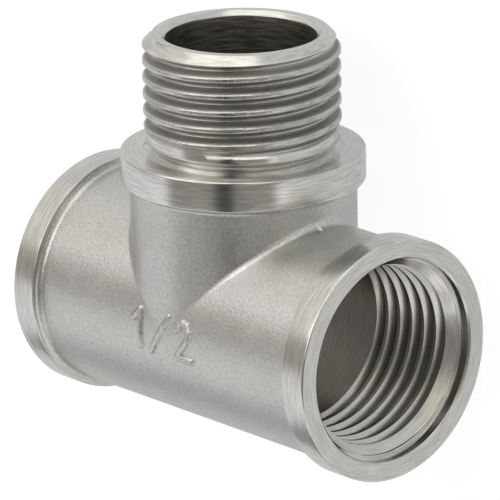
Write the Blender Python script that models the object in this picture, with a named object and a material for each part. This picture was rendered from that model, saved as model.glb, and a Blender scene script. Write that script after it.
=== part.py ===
"""Threaded pipe tee: an internal thread at each end of the run and an external thread on the branch.

The tee is modelled upright, with its run along X, its branch along +Z and the crossing of the two axes
at the origin. It is then laid on its back, as it rests on a bench: the run stays along X, the branch
points along +Y, and the tee's front faces up. Its last origin is on the floor, below its middle.
"""

import math

import bmesh
import bpy

MM = 0.001

# Parallel pipe thread G 1/2, the same for all three ports, with its crests and roots drawn flat
THREAD_PITCH = 1.8143 * MM
THREAD_MAJOR_DIAMETER = 20.955 * MM
THREAD_FLANK_ANGLE = math.radians(27.5)
THREAD_DEPTH = 0.640327 * THREAD_PITCH
THREAD_CREST_WIDTH = THREAD_PITCH / 6

# Barrel of the run, and the turned collar at each of the three ends
RUN_LENGTH = 46.0 * MM
BARREL_WALL = 1.62 * MM
COLLAR_STEP = 0.9 * MM
RUN_COLLAR_WIDTH = 3.2 * MM
COLLAR_CHAMFER = 0.25 * MM
RUN_COLLAR_FILLET = 0.7 * MM

# Run ports, from the mouth inwards
MOUTH_CHAMFER = 0.2 * MM
COUNTERBORE_DEPTH = 1.35 * MM
COUNTERBORE_CLEARANCE = 0.42 * MM
LEAD_IN_CLEARANCE = 0.12 * MM
INTERNAL_THREAD_CLEARANCE = 0.05 * MM
INTERNAL_CREST_TRUNCATION = 0.18 * MM
INTERNAL_THREAD_CLEARANCE_TO_BRANCH = 2.0 * MM
INTERNAL_THREAD_FADE = 0.4
INTERNAL_CREST_AT_BACK = 3.85 * MM
RUN_BORE_CLEARANCE = 0.05 * MM

# Branch: the neck with its collar, and the spigot with the external thread above the collar
NECK_RISE = 2.9 * MM
NECK_INSET = 0.05 * MM
NECK_FILLET = 0.6 * MM
BRANCH_COLLAR_WIDTH = 3.35 * MM
SADDLE_FILLET = 1.0 * MM
SPIGOT_LENGTH = 12.65 * MM
SPIGOT_WALL = 1.32 * MM
SPIGOT_CHAMFER = 1.08 * MM
SHANK_ALLOWANCE = 0.18 * MM
SHANK_TOP = 2.6 * MM
RELIEF_DEPTH = 0.55 * MM
RELIEF_HEIGHT = 0.55 * MM
SEAT_RECESS_CLEARANCE = 0.15 * MM
SEAT_RECESS_DEPTH = 0.12 * MM
EXTERNAL_THREAD_START = 1.98 * MM
EXTERNAL_THREAD_START_ANGLE = math.radians(-64)
EXTERNAL_THREAD_FADE = 0.5
BRANCH_BORE_CHAMFER = 0.5 * MM

# How finely round shapes are divided, and how far shapes run into each other before they are joined
BODY_STEPS = 48
THREAD_STEPS = 36
FILLET_STEPS = 4
OVERLAP = 1.0 * MM
SADDLE_SINK = 0.03 * MM

# Where facets start around their axis: the collars rest on flats, and where shapes meet, edge misses edge
OUTSIDE_FACETS = math.pi / BODY_STEPS
BORE_FACETS = OUTSIDE_FACETS / 3
SPIGOT_FACETS = 0.0

# Worked out from the sizes above
MAJOR_RADIUS = THREAD_MAJOR_DIAMETER / 2
MINOR_RADIUS = MAJOR_RADIUS - THREAD_DEPTH
BARREL_RADIUS = MAJOR_RADIUS + BARREL_WALL
NECK_RADIUS = BARREL_RADIUS - NECK_INSET
COLLAR_RADIUS = BARREL_RADIUS + COLLAR_STEP
RUN_END = RUN_LENGTH / 2
BRANCH_SEAT = BARREL_RADIUS + NECK_RISE + BRANCH_COLLAR_WIDTH
BRANCH_HEIGHT = BRANCH_SEAT + SPIGOT_LENGTH
INTERNAL_CREST_RADIUS = MINOR_RADIUS + INTERNAL_CREST_TRUNCATION
BRANCH_BORE_RADIUS = MINOR_RADIUS - SPIGOT_WALL
INTERNAL_THREAD_END = BRANCH_BORE_RADIUS + INTERNAL_THREAD_CLEARANCE_TO_BRANCH

NICKEL_COLOR = (0.63, 0.62, 0.60, 1.0)
NICKEL_ROUGHNESS = 0.32
SHARP_EDGE_ANGLE = math.radians(30)


def clear_scene():
    for item in list(bpy.data.objects):
        bpy.data.objects.remove(item)


def nickel():
    material = bpy.data.materials.new("nickel_plate")
    material.use_nodes = True
    shader = material.node_tree.nodes["Principled BSDF"]
    shader.inputs["Base Color"].default_value = NICKEL_COLOR
    shader.inputs["Metallic"].default_value = 1.0
    shader.inputs["Roughness"].default_value = NICKEL_ROUGHNESS
    return material


def add_object(name, shape):
    """Puts a bmesh into the scene as a new object."""
    mesh = bpy.data.meshes.new(name)
    shape.to_mesh(mesh)
    shape.free()
    item = bpy.data.objects.new(name, mesh)
    bpy.context.scene.collection.objects.link(item)
    return item


def combine(body, tool, operation):
    """Applies one Boolean of the tool to the body, and removes the tool."""
    cut = body.modifiers.new(tool.name, "BOOLEAN")
    cut.operation = operation
    cut.solver = "EXACT"
    cut.object = tool
    graph = bpy.context.evaluated_depsgraph_get()
    result = bpy.data.meshes.new_from_object(body.evaluated_get(graph))
    body.modifiers.remove(cut)
    body.data = result
    bpy.data.objects.remove(tool)


def along_run(item, towards):
    """Turns an object made around Z so that its Z points along the run, towards +X or -X."""
    quarter_turn = math.pi / 2
    item.rotation_euler = (0, towards * quarter_turn, 0)
    return item


def at_angle(radius, angle, height):
    return (radius * math.cos(angle), radius * math.sin(angle), height)


def fillet_arc(foot_radius, top, size):
    """Outline points of a concave quarter arc, from an upright wall below to a level face at the top."""
    points = []
    for step in range(FILLET_STEPS + 1):
        angle = math.pi - math.pi / 2 * step / FILLET_STEPS
        radius = foot_radius + size + size * math.cos(angle)
        points.append((radius, top - size + size * math.sin(angle)))
    return points


def ring_of(shape, radius, height, angles):
    """A ring of vertices around Z, or one vertex where the radius is nought."""
    if radius == 0:
        return [shape.verts.new((0, 0, height))] * len(angles)
    return [shape.verts.new(at_angle(radius, angle, height)) for angle in angles]


def around(steps, first_angle):
    return [first_angle + 2 * math.pi * step / steps for step in range(steps)]


def turned(name, outline, first_angle, steps=BODY_STEPS):
    """A solid turned around Z. Its outline runs from the axis below, out and up, to the axis above.

    The middles of its facets lie at the outline's radii, and their edges a little outside them.
    """
    shape = bmesh.new()
    angles = around(steps, first_angle)
    corner_share = 1 / math.cos(math.pi / steps)
    rings = [ring_of(shape, radius * corner_share, height, angles) for radius, height in outline]
    for lower, upper in zip(rings, rings[1:]):
        for step in range(steps):
            after = (step + 1) % steps
            corners = (lower[step], lower[after], upper[after], upper[step])
            shape.faces.new(list(dict.fromkeys(corners)))
    return add_object(name, shape)


def thread_form(root_radius, crest_radius):
    """One pitch of a thread as points (height, radius), from the middle of its root to the next root."""
    flank_width = (crest_radius - root_radius) * math.tan(THREAD_FLANK_ANGLE)
    half_root = (THREAD_PITCH - THREAD_CREST_WIDTH) / 2 - flank_width
    return (
        (-half_root, root_radius),
        (half_root, root_radius),
        (half_root + flank_width, crest_radius),
        (half_root + flank_width + THREAD_CREST_WIDTH, crest_radius),
    )


def thread_column(shape, form, plain_radius, run_out, fade, start, turns, first_lap, angle):
    """The points of a thread, from bottom to top, at one angle around it."""
    column = []
    for lap in range(turns):
        for height, full_radius in form:
            rise = height / THREAD_PITCH + lap + first_lap
            share = min(1.0, max(0.0, (rise - run_out) / fade))
            radius = plain_radius + (full_radius - plain_radius) * share
            column.append(shape.verts.new(at_angle(radius, angle, start + THREAD_PITCH * rise)))
    return column


def screw(name, root_radius, crest_radius, plain_radius, start, turns, run_out, fade, start_angle):
    """A solid with a right-hand thread around Z.

    The middle of a root lies at the height called start at start_angle, and the thread rises from there
    for a number of turns. Below run_out, in turns, all of it has the plain radius, and over the fade
    above that, in turns, it comes to its full form.
    """
    shape = bmesh.new()
    form = thread_form(root_radius, crest_radius)
    columns = []
    for step, angle in enumerate(around(THREAD_STEPS, start_angle)):
        first_lap = step / THREAD_STEPS
        columns.append(
            thread_column(shape, form, plain_radius, run_out, fade, start, turns, first_lap, angle)
        )
    first = columns[0]
    last = columns[-1]
    pitch_points = len(form)
    for here, after in zip(columns, columns[1:] + [first[pitch_points:]]):
        for row in range(len(after) - 1):
            shape.faces.new((here[row], after[row], after[row + 1], here[row + 1]))
    bottom = first[pitch_points::-1] + [column[0] for column in columns[1:]]
    top = [column[-1] for column in columns] + last[-2:-2 - pitch_points:-1]
    below = shape.verts.new((0, 0, start - OVERLAP))
    above = shape.verts.new((0, 0, start + THREAD_PITCH * (turns + 1) + OVERLAP))
    for one, other in zip(bottom, bottom[1:] + bottom[:1]):
        shape.faces.new((other, one, below))
    for one, other in zip(top, top[1:] + top[:1]):
        shape.faces.new((one, other, above))
    return add_object(name, shape)


def barrel():
    """The run's outside: the barrel with a collar at each end, joined to it by a fillet."""
    upper = fillet_arc(BARREL_RADIUS, RUN_END - RUN_COLLAR_WIDTH, RUN_COLLAR_FILLET)
    upper += [
        (COLLAR_RADIUS, RUN_END - RUN_COLLAR_WIDTH),
        (COLLAR_RADIUS, RUN_END - COLLAR_CHAMFER),
        (COLLAR_RADIUS - COLLAR_CHAMFER, RUN_END),
        (0, RUN_END),
    ]
    lower = [(radius, -height) for radius, height in reversed(upper)]
    return along_run(turned("barrel", lower + upper, OUTSIDE_FACETS), 1)


def neck():
    """The branch's outside up to its seat: the neck and the collar on top of it.

    The seat is sunk a little around the spigot, so that what is screwed on rests on its flat outer ring.
    """
    underside = BRANCH_SEAT - BRANCH_COLLAR_WIDTH
    recess_radius = MAJOR_RADIUS + SEAT_RECESS_CLEARANCE
    outline = [(0, 0), (NECK_RADIUS, 0)]
    outline += fillet_arc(NECK_RADIUS, underside, NECK_FILLET)
    outline += [
        (COLLAR_RADIUS - COLLAR_CHAMFER, underside),
        (COLLAR_RADIUS, underside + COLLAR_CHAMFER),
        (COLLAR_RADIUS, BRANCH_SEAT - COLLAR_CHAMFER),
        (COLLAR_RADIUS - COLLAR_CHAMFER, BRANCH_SEAT),
        (recess_radius, BRANCH_SEAT),
        (recess_radius, BRANCH_SEAT - SEAT_RECESS_DEPTH),
        (0, BRANCH_SEAT - SEAT_RECESS_DEPTH),
    ]
    return turned("neck", outline, OUTSIDE_FACETS)


def saddle_section(shape, centre, to_neck, to_barrel):
    """One section of the saddle fillet: the ball's arc between neck and barrel, and a point in the metal."""
    between = math.acos(sum(a * b for a, b in zip(to_neck, to_barrel)))
    size = SADDLE_FILLET + SADDLE_SINK
    section = []
    for step in range(FILLET_STEPS + 1):
        share = step / FILLET_STEPS
        neck_weight = math.sin((1 - share) * between) / math.sin(between)
        barrel_weight = math.sin(share * between) / math.sin(between)
        direction = [neck_weight * a + barrel_weight * b for a, b in zip(to_neck, to_barrel)]
        section.append(shape.verts.new([c + size * d for c, d in zip(centre, direction)]))
    reach = SADDLE_FILLET + OVERLAP
    section.append(shape.verts.new([c + reach * (a + b) for c, a, b in zip(centre, to_neck, to_barrel)]))
    return section


def saddle_fillet():
    """The fillet left by a ball that rolls around the neck's foot, touching both neck and barrel."""
    shape = bmesh.new()
    around_neck = NECK_RADIUS + SADDLE_FILLET
    around_barrel = BARREL_RADIUS + SADDLE_FILLET
    sections = []
    for angle in around(BODY_STEPS, OUTSIDE_FACETS):
        x, y, _ = at_angle(around_neck, angle, 0)
        z = math.sqrt(around_barrel**2 - y**2)
        to_neck = (-math.cos(angle), -math.sin(angle), 0)
        to_barrel = (0, -y / around_barrel, -z / around_barrel)
        sections.append(saddle_section(shape, (x, y, z), to_neck, to_barrel))
    for here, after in zip(sections, sections[1:] + sections[:1]):
        for row in range(len(here)):
            below = (row + 1) % len(here)
            shape.faces.new((here[row], here[below], after[below], after[row]))
    return add_object("saddle_fillet", shape)


def spigot():
    """The branch's upper end: relief, shank and chamfered blank, with the external thread cut around it."""
    shank_radius = MAJOR_RADIUS - SHANK_ALLOWANCE
    relief_radius = shank_radius - RELIEF_DEPTH
    relief_top = BRANCH_SEAT + RELIEF_HEIGHT
    clear_of_thread = MAJOR_RADIUS + OVERLAP
    outline = [
        (0, BRANCH_SEAT - OVERLAP),
        (relief_radius, BRANCH_SEAT - OVERLAP),
        (relief_radius, relief_top),
        (shank_radius, relief_top + RELIEF_DEPTH),
        (shank_radius, BRANCH_SEAT + SHANK_TOP),
        (clear_of_thread, BRANCH_SEAT + SHANK_TOP + clear_of_thread - shank_radius),
        (clear_of_thread, BRANCH_HEIGHT - SPIGOT_CHAMFER - OVERLAP),
        (MAJOR_RADIUS - SPIGOT_CHAMFER, BRANCH_HEIGHT),
        (0, BRANCH_HEIGHT),
    ]
    blank = turned("spigot", outline, SPIGOT_FACETS, THREAD_STEPS)
    plain_turns = math.ceil((EXTERNAL_THREAD_START + OVERLAP) / THREAD_PITCH) + 1
    thread = screw(
        "external_thread",
        root_radius=MINOR_RADIUS,
        crest_radius=MAJOR_RADIUS,
        plain_radius=MAJOR_RADIUS,
        start=BRANCH_SEAT + EXTERNAL_THREAD_START - plain_turns * THREAD_PITCH,
        turns=plain_turns + math.ceil(SPIGOT_LENGTH / THREAD_PITCH),
        run_out=plain_turns,
        fade=EXTERNAL_THREAD_FADE,
        start_angle=EXTERNAL_THREAD_START_ANGLE,
    )
    combine(blank, thread, "INTERSECT")
    return blank


def port_mouth(towards):
    """What is turned out of a run port's mouth: the chamfer, the counterbore and the thread's lead-in."""
    shoulder = RUN_END - COUNTERBORE_DEPTH
    bore_radius = MAJOR_RADIUS + COUNTERBORE_CLEARANCE
    lead_in_radius = MAJOR_RADIUS + LEAD_IN_CLEARANCE
    outline = [
        (0, shoulder - lead_in_radius),
        (lead_in_radius, shoulder),
        (bore_radius, shoulder),
        (bore_radius, RUN_END - MOUTH_CHAMFER),
        (bore_radius + MOUTH_CHAMFER + OVERLAP, RUN_END + OVERLAP),
        (0, RUN_END + OVERLAP),
    ]
    return along_run(turned("port_mouth", outline, BORE_FACETS), towards)


def tap(towards):
    """The threaded space in a run port, from where the thread has run out to inside the counterbore."""
    outermost_crest = RUN_END - INTERNAL_CREST_AT_BACK
    laps = math.ceil((outermost_crest - INTERNAL_THREAD_END) / THREAD_PITCH)
    start = outermost_crest - laps * THREAD_PITCH
    thread = screw(
        "tap",
        root_radius=INTERNAL_CREST_RADIUS,
        crest_radius=MAJOR_RADIUS + INTERNAL_THREAD_CLEARANCE,
        plain_radius=INTERNAL_CREST_RADIUS,
        start=start,
        turns=laps + math.floor(INTERNAL_CREST_AT_BACK / THREAD_PITCH),
        run_out=(INTERNAL_THREAD_END - start) / THREAD_PITCH,
        fade=INTERNAL_THREAD_FADE,
        start_angle=math.pi / 2,
    )
    return along_run(thread, towards)


def run_bore():
    """The smooth bore between the two run threads."""
    reach = INTERNAL_THREAD_END + OVERLAP
    radius = INTERNAL_CREST_RADIUS + RUN_BORE_CLEARANCE
    outline = [(0, -reach), (radius, -reach), (radius, reach), (0, reach)]
    return along_run(turned("run_bore", outline, BORE_FACETS), 1)


def branch_bore():
    """The bore down the branch into the run, with a chamfer at its mouth."""
    outline = [
        (0, 0),
        (BRANCH_BORE_RADIUS, 0),
        (BRANCH_BORE_RADIUS, BRANCH_HEIGHT - BRANCH_BORE_CHAMFER),
        (BRANCH_BORE_RADIUS + BRANCH_BORE_CHAMFER + OVERLAP, BRANCH_HEIGHT + OVERLAP),
        (0, BRANCH_HEIGHT + OVERLAP),
    ]
    return turned("branch_bore", outline, BORE_FACETS)


def move_rotation_into_mesh(item):
    bpy.context.view_layer.update()
    item.data.transform(item.matrix_world)
    item.rotation_euler = (0, 0, 0)


def lay_on_back(item):
    """Rests the tee on its three collars, with the middle of its outline over the origin."""
    middle = (BRANCH_HEIGHT - COLLAR_RADIUS) / 2
    item.rotation_euler = (-math.pi / 2, 0, 0)
    item.location = (0, -middle, COLLAR_RADIUS)


def make_tee():
    tee = barrel()
    move_rotation_into_mesh(tee)
    for piece in (neck(), saddle_fillet(), spigot()):
        combine(tee, piece, "UNION")
    cuts = [branch_bore(), run_bore(), port_mouth(1), port_mouth(-1), tap(1), tap(-1)]
    for cut in cuts:
        combine(tee, cut, "DIFFERENCE")
    tee.name = "tee_body"
    tee.data.materials.clear()
    tee.data.materials.append(nickel())
    tee.data.shade_smooth()
    tee.data.set_sharp_from_angle(angle=SHARP_EDGE_ANGLE)
    lay_on_back(tee)


clear_scene()
make_tee()
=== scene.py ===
"""Looks of the threaded pipe tee.

The tee is forged, blasted, turned and nickel plated in one piece. It is made here once more, finer than
its solid, with rounded edges and threads, the fin of its forging seam, a raised size mark and the finish
of its surfaces. It is made upright, in millimetres, with its run along X, its branch along Z and the
crossing of the two axes at the origin. It is then laid on its back, where the frame has it.
"""

import math
from collections import namedtuple

import bmesh
import bpy
from mathutils import Matrix, Vector

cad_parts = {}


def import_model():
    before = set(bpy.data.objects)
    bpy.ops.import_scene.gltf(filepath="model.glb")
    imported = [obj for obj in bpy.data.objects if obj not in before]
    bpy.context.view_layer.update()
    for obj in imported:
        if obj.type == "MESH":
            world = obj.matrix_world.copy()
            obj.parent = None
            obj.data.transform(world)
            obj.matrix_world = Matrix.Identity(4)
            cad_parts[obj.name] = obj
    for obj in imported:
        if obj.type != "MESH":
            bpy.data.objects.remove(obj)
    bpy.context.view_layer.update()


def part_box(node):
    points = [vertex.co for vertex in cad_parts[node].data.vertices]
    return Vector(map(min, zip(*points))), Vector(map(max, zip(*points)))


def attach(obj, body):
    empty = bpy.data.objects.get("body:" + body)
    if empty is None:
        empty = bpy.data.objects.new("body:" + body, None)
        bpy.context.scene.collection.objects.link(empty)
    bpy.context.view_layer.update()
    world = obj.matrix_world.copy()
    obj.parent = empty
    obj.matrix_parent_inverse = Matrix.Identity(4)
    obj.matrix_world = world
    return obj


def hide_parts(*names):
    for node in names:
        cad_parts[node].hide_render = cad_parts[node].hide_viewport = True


MM = 0.001

# Pipe thread G 1/2, in millimetres as all sizes below. Depth and rounding are shares of the pitch
THREAD_PITCH = 1.8143
THREAD_MAJOR_DIAMETER = 20.955
THREAD_FLANK_ANGLE = math.radians(27.5)
THREAD_DEPTH = 0.640327 * THREAD_PITCH
THREAD_ROUNDING = 0.137329 * THREAD_PITCH

# Barrel of the run, and the turned collar at each of the three ends
RUN_LENGTH = 46.0
BARREL_WALL = 1.62
COLLAR_STEP = 0.9
RUN_COLLAR_WIDTH = 3.2
RUN_COLLAR_FILLET = 0.7
EDGE_ROUNDING = 0.22

# Run ports, from the mouth inwards
MOUTH_CHAMFER = 0.2
MOUTH_ROUNDING = 0.1
COUNTERBORE_DEPTH = 1.35
COUNTERBORE_CLEARANCE = 0.42
LEAD_IN_CLEARANCE = 0.12
PORT_THREAD_CLEARANCE = 0.05
PORT_THREAD_CLEARANCE_TO_BRANCH = 2.0
PORT_THREAD_CREST_AT_BACK = 3.85
PORT_THREAD_FADE = 0.4
RUN_DRILL_CLEARANCE = 0.2

# Branch: the neck with its collar, and the spigot with its thread above the collar
NECK_RISE = 2.9
NECK_INSET = 0.05
NECK_FILLET = 0.65
SADDLE_FILLET = 1.0
BRANCH_COLLAR_WIDTH = 3.35
SEAT_RECESS_CLEARANCE = 0.15
SEAT_RECESS_DEPTH = 0.12
SPIGOT_LENGTH = 12.65
SPIGOT_WALL = 1.32
SPIGOT_CHAMFER = 1.08
SHANK_ALLOWANCE = 0.18
SHANK_TOP = 2.6
RELIEF_DEPTH = 0.55
RELIEF_HEIGHT = 0.55
BRANCH_THREAD_START = 1.98
BRANCH_THREAD_START_ANGLE = math.radians(-64)
BRANCH_THREAD_FIRST_DEPTH = 0.35
BRANCH_THREAD_FADE = 0.5
BRANCH_CREST_FLATTENING = 0.1
BRANCH_BORE_CHAMFER = 0.5
BRANCH_BORE_ROUNDING = 0.15

# Worked out from the sizes above
THREAD_MAJOR_RADIUS = THREAD_MAJOR_DIAMETER / 2
THREAD_MINOR_RADIUS = THREAD_MAJOR_RADIUS - THREAD_DEPTH
RUN_END = RUN_LENGTH / 2
BARREL_RADIUS = THREAD_MAJOR_RADIUS + BARREL_WALL
COLLAR_RADIUS = BARREL_RADIUS + COLLAR_STEP
COUNTERBORE_RADIUS = THREAD_MAJOR_RADIUS + COUNTERBORE_CLEARANCE
LEAD_IN_RADIUS = THREAD_MAJOR_RADIUS + LEAD_IN_CLEARANCE
RUN_DRILL_RADIUS = THREAD_MINOR_RADIUS + RUN_DRILL_CLEARANCE
NECK_RADIUS = BARREL_RADIUS - NECK_INSET
BRANCH_COLLAR_UNDERSIDE = BARREL_RADIUS + NECK_RISE
SEAT_HEIGHT = BRANCH_COLLAR_UNDERSIDE + BRANCH_COLLAR_WIDTH
SEAT_RECESS_RADIUS = THREAD_MAJOR_RADIUS + SEAT_RECESS_CLEARANCE
BRANCH_HEIGHT = SEAT_HEIGHT + SPIGOT_LENGTH
SHANK_RADIUS = THREAD_MAJOR_RADIUS - SHANK_ALLOWANCE
BRANCH_BORE_RADIUS = THREAD_MINOR_RADIUS - SPIGOT_WALL
PORT_THREAD_END = BRANCH_BORE_RADIUS + PORT_THREAD_CLEARANCE_TO_BRANCH

# Size mark on the barrel's front: strokes of round beads, as points across and up the barrel
MARK_STROKES = (
    ((-4.3, 1.0), (-3.3, 2.0), (-3.3, -2.0)),
    ((-1.6, -2.2), (1.2, 2.2)),
    ((2.5, 1.1), (2.75, 1.7), (3.4, 2.0), (4.1, 1.8), (4.45, 1.1), (4.2, 0.3), (2.4, -2.0), (4.7, -2.0)),
)
MARK_BEAD_RADIUS = 0.5
MARK_BEAD_SINK = 0.18
MARK_BEAD_SPACING = 1.5
MARK_ANGLE = math.radians(178.5)

# Fin left by the forging dies where the saddle fillet crosses their parting plane
FIN_HEIGHT = 0.28
FIN_WIDTH = 0.42
FIN_END_CUT = 0.08  # share of its half wave that is missing at each end
FIN_TURN = math.radians(-3)

# How finely the shapes are divided
STEPS_AROUND = 192
ARC_STEP = math.radians(15)
LONGEST_STRIP = 1.2
THREAD_ROUNDING_STEPS = 3
SADDLE_ROWS = 8
FIN_ROWS = 10
BEAD_STEPS = 16
BEAD_UPPER_HALF = 0.005  # height from which a point belongs to a bead's upper half
SHARP_EDGE_ANGLE = math.radians(32)

# How far shapes run into each other before they are joined
OVERLAP = 1.0
SADDLE_SINK = 0.004  # the saddle fillet's edges, under neck and barrel

# Where facets start around their axis, so that where shapes meet, edge misses edge
BRANCH_FACETS = math.radians(0.31)
PORT_MOUTH_FACETS = math.radians(0.47)
RUN_DRILL_FACETS = math.radians(0.61)
BRANCH_BORE_FACETS = math.radians(0.83)
SPIGOT_FACETS = BRANCH_THREAD_START_ANGLE + math.pi / STEPS_AROUND

# Middles of a thread's roots and crests, in pitches
ROOTS = 0.0
CRESTS = 0.5

# Camera as fitted to the photograph: where it stands, how it is turned, its distance and shift off the tee
CAMERA_AZIMUTH = math.radians(48.061)
CAMERA_ELEVATION = math.radians(17.830)
CAMERA_ROLL = math.radians(-0.922)
CAMERA_DISTANCE = 612.604
CAMERA_ASIDE = (0.463, 6.555)
CAMERA_LENS = 413.6
CAMERA_SENSOR = 36.0
CAMERA_CLIP = (10, 100000)

# Studio around the upright tee, in degrees as seen from the tee. Each panel covers those before it
STUDIO_WALL = (0.28, 0.28, 0.28)
STUDIO_PANELS = (
    # azimuth from the tee's front towards its right, elevation, softness of the edges, colour
    # most of these numbers, and the wall's, are from a program that fitted them to the photographed tee
    ((-130, -22), (-16, 16), 10, (0.38, 0.35, 0.31)),  # dim, left, as high as the tee
    ((-130, -22), (-41, -9), 10, (0.78, 0.78, 0.79)),  # light, left, low
    ((-50, 42), (-56, -20), 10, (0.95, 0.94, 0.90)),  # light, front, low
    ((54, 141), (-85, -10), 10, (1.04, 1.00, 0.96)),  # light, right, low
    ((-27, 79), (-28, 21), 10, (0.30, 0.29, 0.26)),  # dim, front to right, as high as the tee
    ((-100, -45), (12, 62), 14, (0.77, 0.75, 0.68)),  # light, left, high
    ((-28, 30), (8, 47), 10, (1.23, 1.16, 1.02)),  # bright, front, high
    ((51, 109), (11, 45), 12, (0.74, 0.72, 0.61)),  # light, right, high
    ((-42, -8), (18, 54), 12, (2.05, 2.02, 1.99)),  # brightest, left of the front, high
    ((21, 39), (-46, 31), 8, (0.05, 0.05, 0.05)),  # black and upright, right of the front
    ((20, 48), (-58, -37), 5, (0.99, 1.04, 1.07)),  # light, at the black one's foot
    ((-200, 200), (53, 120), 12, (1.35, 1.33, 1.22)),  # bright, overhead, all around
)
WHITE = (1, 1, 1)

# Floor: its reach, its own shade, and how brightly it glows to the camera and in the metal
FLOOR_REACH = 3000
FLOOR_SHADE = (0.2, 0.2, 0.2)
FLOOR_GLOW = 0.9
FLOOR_GLOW_MIRRORED = 0.55  # from the program that fitted the panels

# Forged metal: dark and light shade, smoothest and roughest, width of its clouds, and its grain
FORGED_SHADES = ((0.57, 0.57, 0.56), (0.71, 0.71, 0.70))
FORGED_ROUGHNESS = (0.33, 0.39)
CLOUD_WIDTH = 3.0
GRAIN_WIDTH = 0.22
GRAIN_DETAIL = 3.0
GRAIN_DEPTH = 0.03

# Turned and bored metal: dark and light shade, roughness, and depth of the tool's marks
TURNED_SHADES = ((0.60, 0.595, 0.58), (0.79, 0.785, 0.77))
TURNED_ROUGHNESS = 0.2
TURNED_STREAK_DEPTH = 0.004
RUN_BORE_SHADES = ((0.40, 0.385, 0.36), (0.50, 0.48, 0.45))
RUN_BORE_STREAK_DEPTH = 0.006
BRANCH_BORE_SHADES = ((0.30, 0.29, 0.27), (0.72, 0.70, 0.66))
BRANCH_BORE_STREAK_DEPTH = 0.012
BORE_ROUGHNESS = 0.3

# Marks of the turning tool
STREAK_WIDTH = 0.2
STREAK_STRETCH = 12.0  # how many times longer than wide they are
STREAK_OUTWARD = 1.7  # how much faster they follow one another outwards than along the axis

# Flakes torn off the branch's crests
FLAKE_WIDTH = 0.6
FLAKE_HEIGHT = 3.0  # in depths of the tool's marks

# Colour of the painted shade in the threads' flanks and roots and of the wear on torn crests, and roughness
# there
GROOVE_SHADE_AND_WEAR = (0.30, 0.295, 0.28)
DULL_ROUGHNESS = 0.5
FLANK_FROM_CREST = (0.03, 0.35)  # distances from the crest between which it turns into flank
ROOT_FROM_CREST = (0.55, 1.05)  # distances from the crest between which flank turns into root

# How dark each thread is made on torn crests (wear), on flanks and in roots (painted shade), and how far it
# fades in and out
BRANCH_SHADE_AND_WEAR = (0.6, 1.0, 0.4)
BRANCH_SHADE_AND_WEAR_FADE = 0.4
PORT_SHADE_AND_WEAR = (0.2, 0.12, 0.8)
PORT_SHADE_AND_WEAR_FADE = 0.8
PORT_SHADE_AND_WEAR_INSET = 0.4  # how far behind the counterbore it ends

# Values of its noise, which runs from nought to one, at which a pattern sets in and is complete
CLOUDS_APPEAR = (0.3, 0.7)
GRAIN_APPEARS = (0.35, 0.65)
STREAKS_APPEAR = (0.3, 0.7)
TEARS_APPEAR = (0.42, 0.62)
FLAKES_APPEAR = (0.48, 0.62)

# Numbers of the finishes, in the order of metals(), and how far past its edge a face's middle may lie
FORGED, RUN_TURNED, PORT_TURNED, BRANCH_TURNED, RUN_BORED, BRANCH_BORED = range(6)
FINISH_EDGE = 0.05

# What the finish of a thread depends on. Its start and end lie along its axis
Thread = namedtuple("Thread", "on_crests, on_flanks, in_roots, flake_height, crest_radius, start, end, fade")


def add_object(name, shape):
    mesh = bpy.data.meshes.new(name)
    shape.to_mesh(mesh)
    shape.free()
    item = bpy.data.objects.new(name, mesh)
    bpy.context.scene.collection.objects.link(item)
    return item


def combine(body, tool, operation):
    """Applies one Boolean of the tool to the body, and removes the tool."""
    cut = body.modifiers.new(tool.name, "BOOLEAN")
    cut.operation = operation
    cut.solver = "MANIFOLD"
    cut.object = tool
    graph = bpy.context.evaluated_depsgraph_get()
    result = bpy.data.meshes.new_from_object(body.evaluated_get(graph))
    body.modifiers.remove(cut)
    body.data = result
    bpy.data.objects.remove(tool)


def along_run(item, towards):
    """Turns a shape made around Z so that its Z points along the run, towards +X or -X."""
    item.data.transform(Matrix.Rotation(towards * math.pi / 2, 4, "Y"))
    return item


def at_angle(radius, angle, height):
    return Vector((radius * math.cos(angle), radius * math.sin(angle), height))


def around(first_angle):
    return [first_angle + 2 * math.pi * step / STEPS_AROUND for step in range(STEPS_AROUND)]


def corner_arc(before, corner, after):
    """The points that round off one corner of an outline."""
    point = Vector(corner[:2])
    rounding = corner[2]
    if rounding == 0:
        return [tuple(point)]
    back = (Vector(before[:2]) - point).normalized()
    ahead = (Vector(after[:2]) - point).normalized()
    half = back.angle(ahead) / 2
    centre = point + (back + ahead).normalized() * rounding / math.sin(half)
    first = point + back * rounding / math.tan(half) - centre
    last = point + ahead * rounding / math.tan(half) - centre
    sweep = first.angle(last)
    steps = max(2, math.ceil(sweep / ARC_STEP))
    points = []
    for step in range(steps + 1):
        share = step / steps
        one = math.sin((1 - share) * sweep) / math.sin(sweep)
        other = math.sin(share * sweep) / math.sin(sweep)
        points.append(tuple(centre + first * one + last * other))
    return points


def rounded(corners):
    """An outline of points (radius, height) from corners (radius, height, rounding)."""
    outline = [corners[0][:2]]
    for before, corner, after in zip(corners, corners[1:], corners[2:]):
        outline += corner_arc(before, corner, after)
    outline.append(corners[-1][:2])
    return outline


def divided(outline):
    """The outline with its long stretches cut up, apart from those that end on the axis."""
    points = [outline[0]]
    for one, other in zip(outline, outline[1:]):
        length = math.dist(one, other)
        pieces = math.ceil(length / LONGEST_STRIP) if one[0] and other[0] else 1
        for piece in range(1, pieces + 1):
            share = piece / pieces
            points.append(tuple(a + (b - a) * share for a, b in zip(one, other)))
    return points


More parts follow.
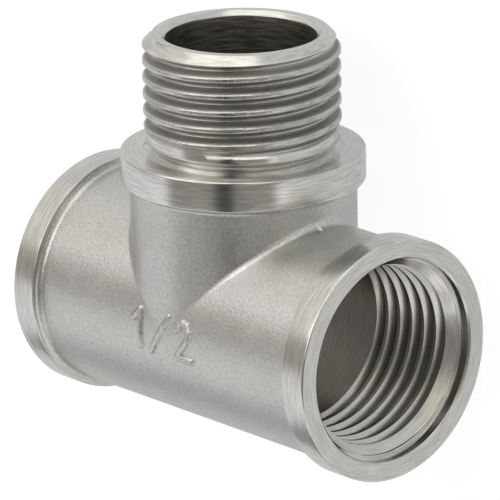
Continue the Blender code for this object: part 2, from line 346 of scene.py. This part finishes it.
def turned(name, corners, first_angle=0.0):
    """A solid turned around Z. Its outline runs from the axis below, out and up, to the axis above."""
    shape = bmesh.new()
    angles = around(first_angle)
    rings = []
    for radius, height in divided(rounded(corners)):
        if radius == 0:
            rings.append([shape.verts.new((0, 0, height))] * STEPS_AROUND)
        else:
            rings.append([shape.verts.new(at_angle(radius, angle, height)) for angle in angles])
    for lower, upper in zip(rings, rings[1:]):
        for step in range(STEPS_AROUND):
            after = (step + 1) % STEPS_AROUND
            corners_here = (lower[step], lower[after], upper[after], upper[step])
            shape.faces.new(list(dict.fromkeys(corners_here)))
    return add_object(name, shape)


def thread_form():
    """One pitch of the thread as points (height, radius): its root, around height nought, and its crest."""
    steepest = math.pi / 2 - THREAD_FLANK_ANGLE
    steps = range(-THREAD_ROUNDING_STEPS, THREAD_ROUNDING_STEPS + 1)
    slopes = [steepest * step / THREAD_ROUNDING_STEPS for step in steps]
    across = [THREAD_ROUNDING * math.sin(slope) for slope in slopes]
    outward = [THREAD_ROUNDING * math.cos(slope) for slope in slopes]
    root_centre = THREAD_MINOR_RADIUS + THREAD_ROUNDING
    crest_centre = THREAD_MAJOR_RADIUS - THREAD_ROUNDING
    root = [(height, root_centre - depth) for height, depth in zip(across, outward)]
    crest = [(THREAD_PITCH / 2 + height, crest_centre + rise) for height, rise in zip(across, outward)]
    return root + crest


def screw(name, start, turns, start_angle, cut_at, radius_at):
    """A solid with a right-hand thread around Z.

    The middle of a root lies at the height called start at start_angle, and the thread rises from there
    for a number of turns. The tool cuts with its middle at cut_at, which is ROOTS or CRESTS. radius_at gives
    a point's radius from the full thread's, and from how far the tool's middle has risen, in turns.
    """
    shape = bmesh.new()
    form = thread_form()
    columns = []
    for step, angle in enumerate(around(start_angle)):
        column = []
        for lap in range(turns):
            turns_up = lap + step / STEPS_AROUND
            for height, full_radius in form:
                nearest_cut = cut_at + round(height / THREAD_PITCH - cut_at)
                radius = radius_at(full_radius, turns_up + nearest_cut)
                place = at_angle(radius, angle, start + THREAD_PITCH * turns_up + height)
                column.append(shape.verts.new(place))
        columns.append(column)
    join_columns(shape, columns, len(form))
    close_ends(shape, columns, len(form), start - OVERLAP, start + THREAD_PITCH * (turns + 1) + OVERLAP)
    return add_object(name, shape)


def join_columns(shape, columns, pitch_points):
    """Adds the faces between a thread's columns. The last column meets the first one pitch higher."""
    for here, after in zip(columns, columns[1:] + [columns[0][pitch_points:]]):
        for row in range(len(after) - 1):
            shape.faces.new((here[row], after[row], after[row + 1], here[row + 1]))


def close_ends(shape, columns, pitch_points, low, high):
    """Adds the cones that close a thread's ends, up to a low and a high point of its axis."""
    bottom = columns[0][pitch_points::-1] + [column[0] for column in columns[1:]]
    top = [column[-1] for column in columns] + columns[-1][-2:-2 - pitch_points:-1]
    below = shape.verts.new((0, 0, low))
    above = shape.verts.new((0, 0, high))
    for one, other in zip(bottom, bottom[1:] + bottom[:1]):
        shape.faces.new((other, one, below))
    for one, other in zip(top, top[1:] + top[:1]):
        shape.faces.new((one, other, above))


def barrel():
    inner = RUN_END - RUN_COLLAR_WIDTH
    corners = [
        (0, -RUN_END, 0),
        (COLLAR_RADIUS, -RUN_END, EDGE_ROUNDING),
        (COLLAR_RADIUS, -inner, EDGE_ROUNDING / 2),
        (BARREL_RADIUS, -inner, RUN_COLLAR_FILLET),
        (BARREL_RADIUS, inner, RUN_COLLAR_FILLET),
        (COLLAR_RADIUS, inner, EDGE_ROUNDING / 2),
        (COLLAR_RADIUS, RUN_END, EDGE_ROUNDING),
        (0, RUN_END, 0),
    ]
    return along_run(turned("tee", corners), 1)


def neck():
    corners = [
        (0, 0, 0),
        (NECK_RADIUS, 0, 0),
        (NECK_RADIUS, BRANCH_COLLAR_UNDERSIDE, NECK_FILLET),
        (COLLAR_RADIUS, BRANCH_COLLAR_UNDERSIDE, EDGE_ROUNDING),
        (COLLAR_RADIUS, SEAT_HEIGHT, EDGE_ROUNDING),
        (SEAT_RECESS_RADIUS, SEAT_HEIGHT, 0),
        (SEAT_RECESS_RADIUS, SEAT_HEIGHT - SEAT_RECESS_DEPTH, 0),
        (0, SEAT_HEIGHT - SEAT_RECESS_DEPTH, 0),
    ]
    return turned("neck", corners, BRANCH_FACETS)


def saddle_fillet():
    """The fillet left by a ball that rolls around the neck's foot, touching both neck and barrel."""
    shape = bmesh.new()
    around_neck = NECK_RADIUS + SADDLE_FILLET
    around_barrel = BARREL_RADIUS + SADDLE_FILLET
    sections = []
    for angle in around(BRANCH_FACETS):
        side = around_neck * math.sin(angle)
        height = math.sqrt(around_barrel**2 - side**2)
        centre = Vector((around_neck * math.cos(angle), side, height))
        to_neck = Vector((-math.cos(angle), -math.sin(angle), 0))
        to_barrel = Vector((0, -side, -height)) / around_barrel
        section = []
        for row in range(SADDLE_ROWS + 1):
            direction = to_neck.slerp(to_barrel, row / SADDLE_ROWS)
            section.append(shape.verts.new(centre + direction * (SADDLE_FILLET + SADDLE_SINK)))
        inside = centre + (to_neck + to_barrel) * (SADDLE_FILLET + OVERLAP)
        section.append(shape.verts.new(inside))
        sections.append(section)
    for here, after in zip(sections, sections[1:] + sections[:1]):
        for row in range(len(here)):
            below = (row + 1) % len(here)
            shape.faces.new((here[row], here[below], after[below], after[row]))
    return add_object("saddle_fillet", shape)


def branch_plain_turns():
    return math.ceil((BRANCH_THREAD_START + OVERLAP) / THREAD_PITCH) + 1


def branch_thread_radius(full_radius, rise):
    """The branch's thread starts with a nick, deepens over its first turns and has flattened crests."""
    plain_turns = branch_plain_turns()
    if rise < plain_turns:
        return THREAD_MAJOR_RADIUS
    deepening = (1 - BRANCH_THREAD_FIRST_DEPTH) * (rise - plain_turns) / BRANCH_THREAD_FADE
    share = min(1.0, BRANCH_THREAD_FIRST_DEPTH + deepening)
    depth = (THREAD_DEPTH - BRANCH_CREST_FLATTENING) * share
    return min(THREAD_MAJOR_RADIUS, full_radius + THREAD_DEPTH - depth)


def spigot():
    relief_radius = SHANK_RADIUS - RELIEF_DEPTH
    relief_top = SEAT_HEIGHT + RELIEF_HEIGHT
    clear_of_thread = THREAD_MAJOR_RADIUS + OVERLAP
    corners = [
        (0, SEAT_HEIGHT - OVERLAP, 0),
        (relief_radius, SEAT_HEIGHT - OVERLAP, 0),
        (relief_radius, relief_top, EDGE_ROUNDING),
        (SHANK_RADIUS, relief_top + RELIEF_DEPTH, EDGE_ROUNDING / 2),
        (SHANK_RADIUS, SEAT_HEIGHT + SHANK_TOP, 0),
        (clear_of_thread, SEAT_HEIGHT + SHANK_TOP + clear_of_thread - SHANK_RADIUS, 0),
        (clear_of_thread, BRANCH_HEIGHT - SPIGOT_CHAMFER - OVERLAP, 0),
        (THREAD_MAJOR_RADIUS - SPIGOT_CHAMFER, BRANCH_HEIGHT, EDGE_ROUNDING / 2),
        (0, BRANCH_HEIGHT, 0),
    ]
    blank = turned("spigot", corners, SPIGOT_FACETS)
    plain_turns = branch_plain_turns()
    thread = screw(
        "branch_thread",
        start=SEAT_HEIGHT + BRANCH_THREAD_START - plain_turns * THREAD_PITCH,
        turns=plain_turns + math.ceil(SPIGOT_LENGTH / THREAD_PITCH),
        start_angle=BRANCH_THREAD_START_ANGLE,
        cut_at=ROOTS,
        radius_at=branch_thread_radius,
    )
    combine(blank, thread, "INTERSECT")
    return blank


def port_mouth(towards):
    shoulder = RUN_END - COUNTERBORE_DEPTH
    corners = [
        (0, shoulder - LEAD_IN_RADIUS, 0),
        (LEAD_IN_RADIUS, shoulder, 0),
        (COUNTERBORE_RADIUS, shoulder, MOUTH_ROUNDING),
        (COUNTERBORE_RADIUS, RUN_END - MOUTH_CHAMFER, MOUTH_ROUNDING),
        (COUNTERBORE_RADIUS + MOUTH_CHAMFER + OVERLAP, RUN_END + OVERLAP, 0),
        (0, RUN_END + OVERLAP, 0),
    ]
    return along_run(turned("port_mouth", corners, PORT_MOUTH_FACETS), towards)


def port_thread_start():
    """Where the tap's first root lies along the run, and how many laps below the outermost crest."""
    outermost_crest = RUN_END - PORT_THREAD_CREST_AT_BACK
    laps = math.ceil((outermost_crest - PORT_THREAD_END) / THREAD_PITCH)
    return outermost_crest - laps * THREAD_PITCH, laps


def port_plain_turns():
    start, _ = port_thread_start()
    return (PORT_THREAD_END - start) / THREAD_PITCH


def port_thread_radius(full_radius, rise):
    """A run port's thread runs out inwards, up to where the branch's bore crosses the run."""
    share = min(1.0, max(0.0, (rise - port_plain_turns()) / PORT_THREAD_FADE))
    depth = (THREAD_DEPTH + PORT_THREAD_CLEARANCE) * share
    return max(THREAD_MINOR_RADIUS, full_radius - THREAD_DEPTH + depth)


def tap(towards):
    start, laps = port_thread_start()
    thread = screw(
        "tap",
        start=start,
        turns=laps + math.floor(PORT_THREAD_CREST_AT_BACK / THREAD_PITCH),
        start_angle=math.pi / 2,
        cut_at=CRESTS,
        radius_at=port_thread_radius,
    )
    return along_run(thread, towards)


def run_drill():
    reach = RUN_END - COUNTERBORE_DEPTH / 2
    corners = [
        (0, -reach, 0),
        (RUN_DRILL_RADIUS, -reach, 0),
        (RUN_DRILL_RADIUS, reach, 0),
        (0, reach, 0),
    ]
    return along_run(turned("run_drill", corners, RUN_DRILL_FACETS), 1)


def branch_bore():
    corners = [
        (0, 0, 0),
        (BRANCH_BORE_RADIUS, 0, 0),
        (BRANCH_BORE_RADIUS, BRANCH_HEIGHT - BRANCH_BORE_CHAMFER, BRANCH_BORE_ROUNDING),
        (BRANCH_BORE_RADIUS + BRANCH_BORE_CHAMFER + OVERLAP, BRANCH_HEIGHT + OVERLAP, 0),
        (0, BRANCH_HEIGHT + OVERLAP, 0),
    ]
    return turned("branch_bore", corners, BRANCH_BORE_FACETS)


def bead(start, end):
    """A short round bar with round ends, from one point to another."""
    length = (end - start).length
    shape = bmesh.new()
    bmesh.ops.create_uvsphere(
        shape, u_segments=BEAD_STEPS, v_segments=BEAD_STEPS, radius=MARK_BEAD_RADIUS
    )
    for vert in shape.verts:
        if vert.co.z > BEAD_UPPER_HALF:
            vert.co.z += length
    turn = (end - start).to_track_quat("Z", "Y").to_matrix().to_4x4()
    shape.transform(Matrix.Translation(start) @ turn)
    return add_object("bead", shape)


def on_barrel(across, up):
    """A point of the size mark, just under the barrel's surface."""
    angle = MARK_ANGLE - up / BARREL_RADIUS
    radius = BARREL_RADIUS - MARK_BEAD_SINK
    return Vector((across, radius * math.cos(angle), radius * math.sin(angle)))


def size_mark():
    beads = []
    for stroke in MARK_STROKES:
        for one, other in zip(stroke, stroke[1:]):
            pieces = math.ceil(math.dist(one, other) / MARK_BEAD_SPACING)
            points = [Vector(one).lerp(Vector(other), piece / pieces) for piece in range(pieces + 1)]
            for start, end in zip(points, points[1:]):
                beads.append(bead(on_barrel(*start), on_barrel(*end)))
    return beads


def parting_fin():
    """The fin on the saddle fillet at the run's right side, highest in its middle."""
    shape = bmesh.new()
    centre = Vector((NECK_RADIUS + SADDLE_FILLET, 0, BARREL_RADIUS + SADDLE_FILLET))
    sections = []
    for row in range(FIN_ROWS + 1):
        share = row / FIN_ROWS
        angle = math.pi + math.pi / 2 * share
        outward = Vector((math.cos(angle), 0, math.sin(angle)))
        swell = math.sin(math.pi * (FIN_END_CUT + (1 - 2 * FIN_END_CUT) * share))
        crest = centre + outward * (SADDLE_FILLET - FIN_HEIGHT * swell)
        foot = centre + outward * (SADDLE_FILLET + FIN_HEIGHT)
        side = Vector((0, FIN_WIDTH * swell, 0))
        sections.append([shape.verts.new(place) for place in (crest, foot + side, foot - side)])
    for here, after in zip(sections, sections[1:]):
        for corner in range(len(here)):
            following = (corner + 1) % len(here)
            shape.faces.new((here[corner], after[corner], after[following], here[following]))
    shape.faces.new(sections[0])
    shape.faces.new(reversed(sections[-1]))
    bmesh.ops.recalc_face_normals(shape, faces=shape.faces)
    fin = add_object("parting_fin", shape)
    fin.data.transform(Matrix.Rotation(FIN_TURN, 4, "Z"))
    return fin


def finish_of(centre):
    """Which finish a face has, by where its middle lies in the upright tee."""
    x, y, z = centre
    from_run = math.hypot(y, z)
    if from_run < RUN_DRILL_RADIUS + FINISH_EDGE:
        return RUN_BORED
    if z > 0 and math.hypot(x, y) < BRANCH_BORE_RADIUS + FINISH_EDGE:
        return BRANCH_BORED
    if z > BRANCH_COLLAR_UNDERSIDE - FINISH_EDGE:
        return BRANCH_TURNED
    if from_run < COUNTERBORE_RADIUS + FINISH_EDGE and abs(x) < RUN_END - FINISH_EDGE:
        return PORT_TURNED
    if abs(x) > RUN_END - RUN_COLLAR_WIDTH - FINISH_EDGE:
        return RUN_TURNED
    return FORGED


def give_finishes(tee):
    tee.data.materials.clear()
    for material in metals():
        tee.data.materials.append(material)
    for face in tee.data.polygons:
        face.material_index = finish_of(face.center)


def shade_smooth(tee):
    """Shades the tee smooth between its sharp edges, where large faces weigh more than small ones."""
    tee.data.shade_smooth()
    tee.data.set_sharp_from_angle(angle=SHARP_EDGE_ANGLE)
    weigh = tee.modifiers.new("weighted_normals", "WEIGHTED_NORMAL")
    weigh.keep_sharp = True


def make_tee():
    """The whole tee, upright, with its sizes in metres."""
    tee = barrel()
    for piece in (neck(), saddle_fillet(), spigot(), parting_fin(), *size_mark()):
        combine(tee, piece, "UNION")
    for cut in (branch_bore(), run_drill(), port_mouth(1), port_mouth(-1), tap(1), tap(-1)):
        combine(tee, cut, "DIFFERENCE")
    give_finishes(tee)
    tee.data.transform(Matrix.Scale(MM, 4))
    shade_smooth(tee)
    return tee


def laid_on_back():
    """Takes the upright tee, in metres, to where the frame has it."""
    low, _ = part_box("tee_body")
    run_axis = Vector((0, low.y + COLLAR_RADIUS * MM, COLLAR_RADIUS * MM))
    return Matrix.Translation(run_axis) @ Matrix.Rotation(-math.pi / 2, 4, "X")


def in_metres(*millimetres):
    return [length * MM for length in millimetres]


def opaque(colour):
    return (*colour, 1)


def feed(tree, socket, value):
    """Links another node's output to the socket, or sets the socket to a plain value."""
    if isinstance(value, bpy.types.NodeSocket):
        tree.links.new(value, socket)
    else:
        socket.default_value = value


def add_node(tree, kind, inputs=(), **settings):
    """Adds a shader node with its settings, and feeds its inputs in their order."""
    node = tree.nodes.new(kind)
    for name, value in settings.items():
        setattr(node, name, value)
    for socket, value in zip(node.inputs, inputs):
        feed(tree, socket, value)
    return node


def computed(tree, operation, *values):
    """What a maths node makes of one value or two."""
    return add_node(tree, "ShaderNodeMath", values, operation=operation).outputs[0]


def ranged(tree, value, limits, results=(0, 1)):
    """Goes from one result to the other as the value goes from limit to limit, with soft ends."""
    inputs = (value, *limits, *results)
    return add_node(tree, "ShaderNodeMapRange", inputs, interpolation_type="SMOOTHSTEP").outputs[0]


def mixed(tree, share, one, other):
    """One colour with a share of the other."""
    node = add_node(tree, "ShaderNodeMix", data_type="RGBA")
    sockets = {socket.identifier: socket for socket in node.inputs}
    feed(tree, sockets["Factor_Float"], share)
    feed(tree, sockets["A_Color"], one)
    feed(tree, sockets["B_Color"], other)
    return next(socket for socket in node.outputs if socket.identifier == "Result_Color")


def noise_at(tree, place, width, detail=2.0):
    """Noise whose features are about so many millimetres wide."""
    node = add_node(tree, "ShaderNodeTexNoise")
    feed(tree, node.inputs["Vector"], place)
    feed(tree, node.inputs["Scale"], 1 / (width * MM))
    feed(tree, node.inputs["Detail"], detail)
    return node.outputs[0]


def metal(name):
    material = bpy.data.materials.new(name)
    material.use_nodes = True
    tree = material.node_tree
    shader = tree.nodes["Principled BSDF"]
    feed(tree, shader.inputs["Metallic"], 1)
    place = add_node(tree, "ShaderNodeTexCoord").outputs["Object"]
    return material, tree, shader, place


def add_bump(tree, shader, height, depth):
    node = add_node(tree, "ShaderNodeBump")
    feed(tree, node.inputs["Distance"], depth * MM)
    feed(tree, node.inputs["Height"], height)
    feed(tree, shader.inputs["Normal"], node.outputs["Normal"])


def forged_metal():
    """The blasted skin of the forging: satin, with a fine grain."""
    material, tree, shader, place = metal("forged")
    dark, light = FORGED_SHADES
    grain = noise_at(tree, place, GRAIN_WIDTH, GRAIN_DETAIL)
    clouds = noise_at(tree, place, CLOUD_WIDTH)
    colour = mixed(tree, ranged(tree, grain, GRAIN_APPEARS), opaque(dark), opaque(light))
    feed(tree, shader.inputs["Base Color"], colour)
    feed(tree, shader.inputs["Roughness"], ranged(tree, clouds, CLOUDS_APPEAR, FORGED_ROUGHNESS))
    add_bump(tree, shader, grain, GRAIN_DEPTH)
    return material


def about_axis(tree, place, axis):
    """Where the place lies across the axis, in two directions, and along it."""
    x, y, z = add_node(tree, "ShaderNodeSeparateXYZ", (place,)).outputs
    if axis == "RUN":
        return y, z, computed(tree, "ABSOLUTE", x)
    return x, y, z


def distance_from_axis(tree, across, other):
    squares = computed(tree, "ADD", computed(tree, "POWER", across, 2), computed(tree, "POWER", other, 2))
    return computed(tree, "SQRT", squares)


def tool_streaks(tree, across, other, along, radius):
    """Noise drawn out around an axis, as a turning tool leaves it, on faces and cylinders alike."""
    outward = computed(tree, "MULTIPLY", radius, STREAK_OUTWARD)
    fine_way = computed(tree, "MULTIPLY", computed(tree, "ADD", along, outward), STREAK_STRETCH)
    place = add_node(tree, "ShaderNodeCombineXYZ", (across, other, fine_way)).outputs[0]
    return noise_at(tree, place, STREAK_WIDTH * STREAK_STRETCH)


def threaded_part(tree, along, thread):
    """One along the thread, and nought before its start and past its end."""
    before_end = ranged(tree, along, in_metres(thread.end - thread.fade, thread.end), (1, 0))
    after_start = ranged(tree, along, in_metres(thread.start, thread.start + thread.fade))
    return computed(tree, "MULTIPLY", before_end, after_start)


def thread_shade_and_wear(tree, radius, streaks, thread):
    """How far the metal is darkened and roughened: painted shade down a thread's flanks into its roots, and
    wear on its torn crests.
    """
    beyond = computed(tree, "SUBTRACT", radius, thread.crest_radius * MM)
    from_crest = computed(tree, "ABSOLUTE", beyond)
    flank = ranged(tree, from_crest, in_metres(*FLANK_FROM_CREST))
    below_crest = ranged(tree, from_crest, in_metres(*ROOT_FROM_CREST), (thread.on_flanks, thread.in_roots))
    torn = ranged(tree, streaks, TEARS_APPEAR, (0, thread.on_crests))
    return computed(tree, "MAXIMUM", computed(tree, "MULTIPLY", flank, below_crest), torn)


def turned_metal(name, axis, shades, roughness, streak_depth, thread=None):
    """Metal turned around the run or the branch, with the fine streaks of the tool.

    Along a thread, if there is one, painted shade darkens the flanks and roots, which are rougher too, and
    the crests are a little torn and dulled.
    """
    material, tree, shader, place = metal(name)
    dark, light = shades
    across, other, along = about_axis(tree, place, axis)
    radius = distance_from_axis(tree, across, other)
    streaks = tool_streaks(tree, across, other, along, radius)
    height = streaks
    colour = mixed(tree, ranged(tree, streaks, STREAKS_APPEAR), opaque(dark), opaque(light))
    if thread:
        threaded = threaded_part(tree, along, thread)
        # painted shade in the thread's flanks and roots, with wear on its torn crests
        shade_and_wear = computed(tree, "MULTIPLY", thread_shade_and_wear(tree, radius, streaks, thread), threaded)
        colour = mixed(tree, shade_and_wear, colour, opaque(GROOVE_SHADE_AND_WEAR))
        roughness = ranged(tree, shade_and_wear, (0, 1), (roughness, DULL_ROUGHNESS))
        flakes = ranged(tree, noise_at(tree, place, FLAKE_WIDTH), FLAKES_APPEAR, (0, thread.flake_height))
        height = computed(tree, "ADD", streaks, computed(tree, "MULTIPLY", flakes, threaded))
    feed(tree, shader.inputs["Base Color"], colour)
    feed(tree, shader.inputs["Roughness"], roughness)
    add_bump(tree, shader, height, streak_depth)
    return material


def port_thread():
    return Thread(
        *PORT_SHADE_AND_WEAR,
        flake_height=0,
        crest_radius=THREAD_MINOR_RADIUS,
        start=0,
        end=RUN_END - COUNTERBORE_DEPTH - PORT_SHADE_AND_WEAR_INSET,
        fade=PORT_SHADE_AND_WEAR_FADE,
    )


def branch_thread():
    return Thread(
        *BRANCH_SHADE_AND_WEAR,
        flake_height=FLAKE_HEIGHT,
        crest_radius=THREAD_MAJOR_RADIUS,
        start=SEAT_HEIGHT + BRANCH_THREAD_START,
        end=BRANCH_HEIGHT - SPIGOT_CHAMFER,
        fade=BRANCH_SHADE_AND_WEAR_FADE,
    )


def metals():
    """The finishes, in the order of their numbers."""
    turned_finish = (TURNED_SHADES, TURNED_ROUGHNESS, TURNED_STREAK_DEPTH)
    return (
        forged_metal(),
        turned_metal("run_turned", "RUN", *turned_finish),
        turned_metal("port_turned", "RUN", *turned_finish, port_thread()),
        turned_metal("branch_turned", "BRANCH", *turned_finish, branch_thread()),
        turned_metal("run_bored", "RUN", RUN_BORE_SHADES, BORE_ROUGHNESS, RUN_BORE_STREAK_DEPTH),
        turned_metal("branch_bored", "BRANCH", BRANCH_BORE_SHADES, BORE_ROUGHNESS, BRANCH_BORE_STREAK_DEPTH),
    )


def between(tree, angle, limits, softness):
    """One inside the limits and nought outside, with soft edges. Limits and softness are in degrees."""
    low, high = limits
    middle = math.radians((low + high) / 2)
    half = (high - low) / 2
    away = computed(tree, "ABSOLUTE", computed(tree, "SUBTRACT", angle, middle))
    inner = math.radians(half - softness / 2)
    outer = math.radians(half + softness / 2)
    return ranged(tree, away, (inner, outer), (1, 0))


def panelled_light(tree):
    """The colour of the studio's light, by where it comes from."""
    direction = add_node(tree, "ShaderNodeTexCoord").outputs["Generated"]
    right, up, front = add_node(tree, "ShaderNodeSeparateXYZ", (direction,)).outputs
    azimuth = computed(tree, "ARCTAN2", right, front)
    elevation = computed(tree, "ARCSINE", up)
    light = opaque(STUDIO_WALL)
    for azimuths, elevations, softness, colour in STUDIO_PANELS:
        sideways = between(tree, azimuth, azimuths, softness)
        upwards = between(tree, elevation, elevations, softness)
        light = mixed(tree, computed(tree, "MULTIPLY", sideways, upwards), light, opaque(colour))
    return light


def studio_world():
    """Soft panels around the upright tee; the camera sees plain white instead."""
    world = bpy.data.worlds.new("studio")
    world.use_nodes = True
    tree = world.node_tree
    tree.nodes.clear()
    lit = add_node(tree, "ShaderNodeBackground", (panelled_light(tree), 1))
    seen = add_node(tree, "ShaderNodeBackground", (opaque(WHITE), 1))
    camera_ray = add_node(tree, "ShaderNodeLightPath").outputs["Is Camera Ray"]
    both = add_node(tree, "ShaderNodeMixShader", (camera_ray, lit.outputs[0], seen.outputs[0]))
    add_node(tree, "ShaderNodeOutputWorld", (both.outputs[0],))
    bpy.context.scene.world = world


def floor_material():
    """Dull grey that glows white to the camera and in the metal, and still takes the tee's shadow."""
    material = bpy.data.materials.new("floor")
    material.use_nodes = True
    tree = material.node_tree
    tree.nodes.clear()
    path = add_node(tree, "ShaderNodeLightPath").outputs
    mirrored = computed(tree, "MAXIMUM", path["Is Glossy Ray"], path["Is Transmission Ray"])
    in_metal = computed(tree, "MULTIPLY", mirrored, FLOOR_GLOW_MIRRORED)
    to_camera = computed(tree, "MULTIPLY", path["Is Camera Ray"], FLOOR_GLOW)
    strength = computed(tree, "MAXIMUM", in_metal, to_camera)
    glow = add_node(tree, "ShaderNodeEmission", (opaque(WHITE), strength))
    cover = add_node(tree, "ShaderNodeBsdfDiffuse", (opaque(FLOOR_SHADE),))
    both = add_node(tree, "ShaderNodeAddShader", (glow.outputs[0], cover.outputs[0]))
    add_node(tree, "ShaderNodeOutputMaterial", (both.outputs[0],))
    return material


def add_floor():
    shape = bmesh.new()
    bmesh.ops.create_grid(shape, x_segments=1, y_segments=1, size=FLOOR_REACH * MM)
    floor = add_object("floor", shape)
    floor.data.materials.append(floor_material())


def camera_axes():
    """The directions to the camera's right, upwards and back, beside the upright tee."""
    azimuth, elevation, roll = CAMERA_AZIMUTH, CAMERA_ELEVATION, CAMERA_ROLL
    level_back = Vector((math.sin(azimuth), -math.cos(azimuth), 0))
    back = level_back * math.cos(elevation) + Vector((0, 0, math.sin(elevation)))
    level = Vector((math.cos(azimuth), math.sin(azimuth), 0))
    upward = back.cross(level)
    right = level * math.cos(roll) + upward * math.sin(roll)
    up = upward * math.cos(roll) - level * math.sin(roll)
    return right, up, back


def add_camera(upright_to_frame):
    right, up, back = camera_axes()
    aside, above = CAMERA_ASIDE
    place = (right * aside + up * above + back * CAMERA_DISTANCE) * MM
    camera = bpy.data.objects.new("camera", bpy.data.cameras.new("camera"))
    bpy.context.scene.collection.objects.link(camera)
    axes = Matrix((right, up, back)).transposed().to_4x4()
    camera.matrix_world = upright_to_frame @ Matrix.Translation(place) @ axes
    camera.data.lens = CAMERA_LENS
    camera.data.sensor_width = CAMERA_SENSOR
    camera.data.clip_start, camera.data.clip_end = in_metres(*CAMERA_CLIP)
    bpy.context.scene.camera = camera


def main():
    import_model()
    upright_to_frame = laid_on_back()
    tee = make_tee()
    tee.matrix_world = upright_to_frame
    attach(tee, "root")
    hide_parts("tee_body")
    add_camera(upright_to_frame)
    studio_world()
    add_floor()
    bpy.context.scene.view_settings.view_transform = "Standard"


main()
